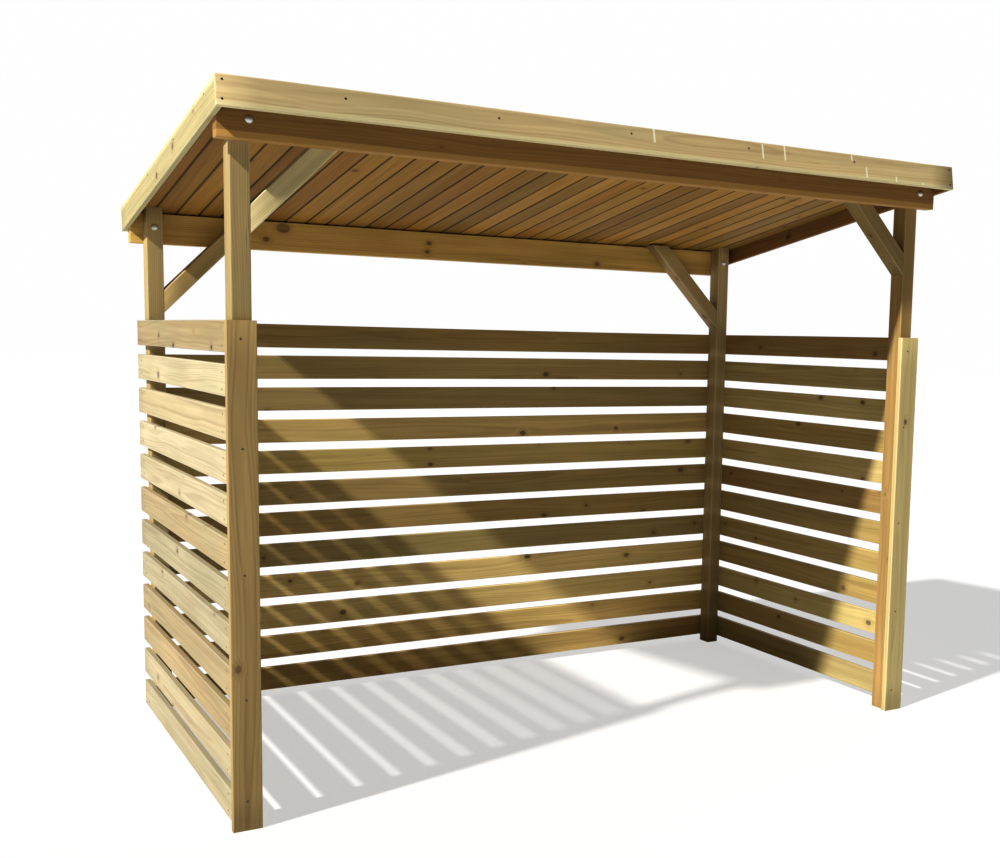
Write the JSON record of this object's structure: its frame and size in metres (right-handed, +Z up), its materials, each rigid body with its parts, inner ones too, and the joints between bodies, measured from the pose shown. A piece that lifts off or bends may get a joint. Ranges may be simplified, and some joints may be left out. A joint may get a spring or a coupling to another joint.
{
  "type": "log store",
  "caption": "Open-fronted timber log store with slatted back and sides, square posts, knee braces and a single-pitch board roof that falls to the back.",
  "frame": {"origin": "on the ground, under the centre of the bounding box", "axes": "+X to the right along the open front, +Y from the open front to the slatted back, +Z up"},
  "size_m": [2.846, 1.5816, 2.2321],
  "materials": {
    "frame_timber": "planed pressure-treated softwood, matt",
    "slat_board": "planed pressure-treated softwood, matt, greenish tint",
    "corner_board": "planed pressure-treated softwood, matt",
    "roof_board": "tongued and grooved softwood boards, matt",
    "fascia_board": "planed pressure-treated softwood, matt"
  },
  "bodies": {
    "root": {"post_front_left": "frame_timber", "post_front_right": "frame_timber", "post_back_left": "frame_timber", "post_back_right": "frame_timber", "beam_front": "frame_timber", "beam_back": "frame_timber", "brace_front_left": "frame_timber", "brace_front_right": "frame_timber", "brace_back_left": "frame_timber", "brace_back_right": "frame_timber", "slats_left": "slat_board", "slats_right": "slat_board", "slats_back": "slat_board", "corner_board_left": "corner_board", "corner_board_right": "corner_board", "roof_deck": "roof_board", "fascia_front": "fascia_board", "fascia_back": "fascia_board", "fascia_left": "fascia_board", "fascia_right": "fascia_board"}
  },
  "joints": []
}
